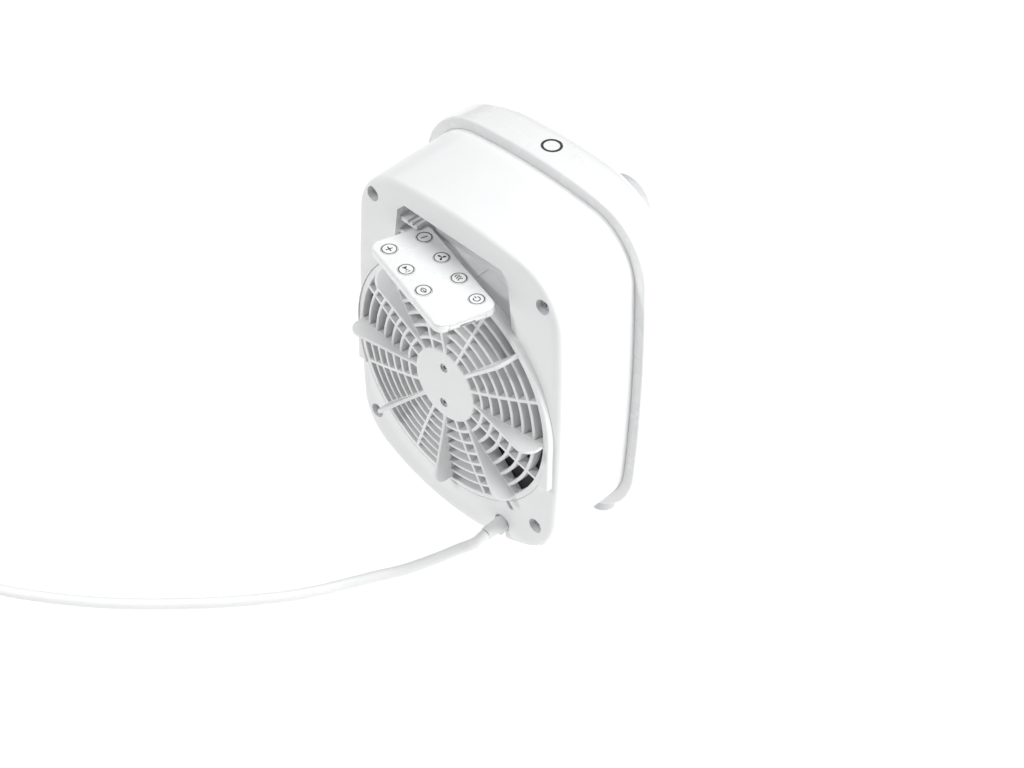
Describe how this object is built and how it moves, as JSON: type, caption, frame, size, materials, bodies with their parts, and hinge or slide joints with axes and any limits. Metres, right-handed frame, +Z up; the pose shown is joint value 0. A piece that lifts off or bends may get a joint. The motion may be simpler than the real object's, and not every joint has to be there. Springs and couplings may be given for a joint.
{
  "type": "fan heater",
  "caption": "Compact white fan heater with a bowed rear tub, petal-spoke intake grille, hand recess holding a slim remote control, front knob, and a coiled power cord.",
  "frame": {"origin": "on the floor, under the middle of the heater without its cord", "axes": "+Z up, +Y out of the back face with the intake grille, -Y out of the front with the hot air outlet, X across"},
  "size_m": [0.3255, 0.5609, 0.2616],
  "materials": {
    "white_plastic": "satin gloss moulding",
    "white_cord": "satin",
    "grey_print": "flat print",
    "black_plastic": "matt",
    "chrome_trim": "polished",
    "steel": "satin",
    "circuit_board": "solder mask",
    "component_plastic": "matt",
    "brass": "satin",
    "heater_ceramic": "matt",
    "heater_aluminium": "satin",
    "red_wire": "satin",
    "dark_rubber": "matt"
  },
  "bodies": {
    "heater_body": {"rear_housing": "white_plastic", "remote_pocket": "white_plastic", "rear_grille": "white_plastic", "dust_filter": "black_plastic", "grille_screws": "steel", "housing_screws": "steel", "front_frame": "white_plastic", "front_panel": "white_plastic", "outlet_grille": "black_plastic", "display_lens": "black_plastic", "knob_ring": "chrome_trim", "top_symbol": "grey_print", "encoder_body": "black_plastic", "control_board": "circuit_board", "led_display": "component_plastic", "ir_receiver": "black_plastic", "main_board": "circuit_board", "power_relays": "component_plastic", "terminal_block": "component_plastic", "filter_capacitor": "component_plastic", "fan_shroud": "white_plastic", "motor_can": "steel", "motor_bearings": "brass", "heater_frame": "heater_ceramic", "heater_fins": "heater_aluminium", "heater_terminals": "brass", "thermal_cutout": "component_plastic", "tip_switch": "black_plastic", "inner_wiring": "red_wire", "rubber_feet": "dark_rubber", "strain_relief": "white_plastic", "cord_clamp": "white_plastic", "power_cord": "white_cord", "cord_coil": "white_cord", "cord_tail": "white_cord", "cord_tie": "black_plastic", "plug_body": "white_cord", "plug_pins": "brass"},
    "fan": {"fan_impeller": "black_plastic", "motor_shaft": "steel"},
    "encoder": {"encoder_rotor": "steel"},
    "knob": {"control_knob": "white_plastic", "encoder_shaft": "steel"},
    "remote": {"remote_lower_shell": "white_plastic", "remote_upper_shell": "white_plastic", "remote_board": "circuit_board", "remote_led": "black_plastic"},
    "tray": {"battery_tray": "white_plastic", "coin_cell": "steel"},
    "button_minus": {"key_minus": "white_plastic"},
    "button_plus": {"key_plus": "white_plastic"},
    "button_fan": {"key_fan": "white_plastic"},
    "button_timer": {"key_timer": "white_plastic"},
    "button_mode": {"key_mode": "white_plastic"},
    "button_eco": {"key_eco": "white_plastic"},
    "button_power": {"key_power": "white_plastic"}
  },
  "joints": [
    {"name": "fan_spin", "type": "hinge", "parent": "heater_body", "child": "fan", "pos_m": [0, 0.0018, 0.1245], "axis": [0, 1, 0], "continuous": true},
    {"name": "knob_turn", "type": "hinge", "parent": "heater_body", "child": "encoder", "pos_m": [-0.0283, -0.0577, 0.216], "axis": [0, 1, 0], "continuous": true},
    {"name": "knob_press", "type": "slide", "parent": "encoder", "child": "knob", "axis": [0, 1, 0], "range_m": [0, 0.0008], "stiffness_N_per_m": 1500, "springref_m": -0.0008},
    {"name": "remote_slide", "type": "slide", "parent": "heater_body", "child": "remote", "axis": [0, 1, 0], "range_m": [-0.0015, 0.045]},
    {"name": "tray_slide", "type": "slide", "parent": "remote", "child": "tray", "axis": [-0.9659, 0.2588, 0], "range_m": [0, 0.03]},
    {"name": "press_minus", "type": "slide", "parent": "remote", "child": "button_minus", "axis": [0, 0, -1], "range_m": [0, 0.0003], "stiffness_N_per_m": 600, "springref_m": -0.0004},
    {"name": "press_plus", "type": "slide", "parent": "remote", "child": "button_plus", "axis": [0, 0, -1], "range_m": [0, 0.0003], "stiffness_N_per_m": 600, "springref_m": -0.0004},
    {"name": "press_fan", "type": "slide", "parent": "remote", "child": "button_fan", "axis": [0, 0, -1], "range_m": [0, 0.0003], "stiffness_N_per_m": 600, "springref_m": -0.0004},
    {"name": "press_timer", "type": "slide", "parent": "remote", "child": "button_timer", "axis": [0, 0, -1], "range_m": [0, 0.0003], "stiffness_N_per_m": 600, "springref_m": -0.0004},
    {"name": "press_mode", "type": "slide", "parent": "remote", "child": "button_mode", "axis": [0, 0, -1], "range_m": [0, 0.0003], "stiffness_N_per_m": 600, "springref_m": -0.0004},
    {"name": "press_eco", "type": "slide", "parent": "remote", "child": "button_eco", "axis": [0, 0, -1], "range_m": [0, 0.0003], "stiffness_N_per_m": 600, "springref_m": -0.0004},
    {"name": "press_power", "type": "slide", "parent": "remote", "child": "button_power", "axis": [0, 0, -1], "range_m": [0, 0.0003], "stiffness_N_per_m": 600, "springref_m": -0.0004}
  ]
}
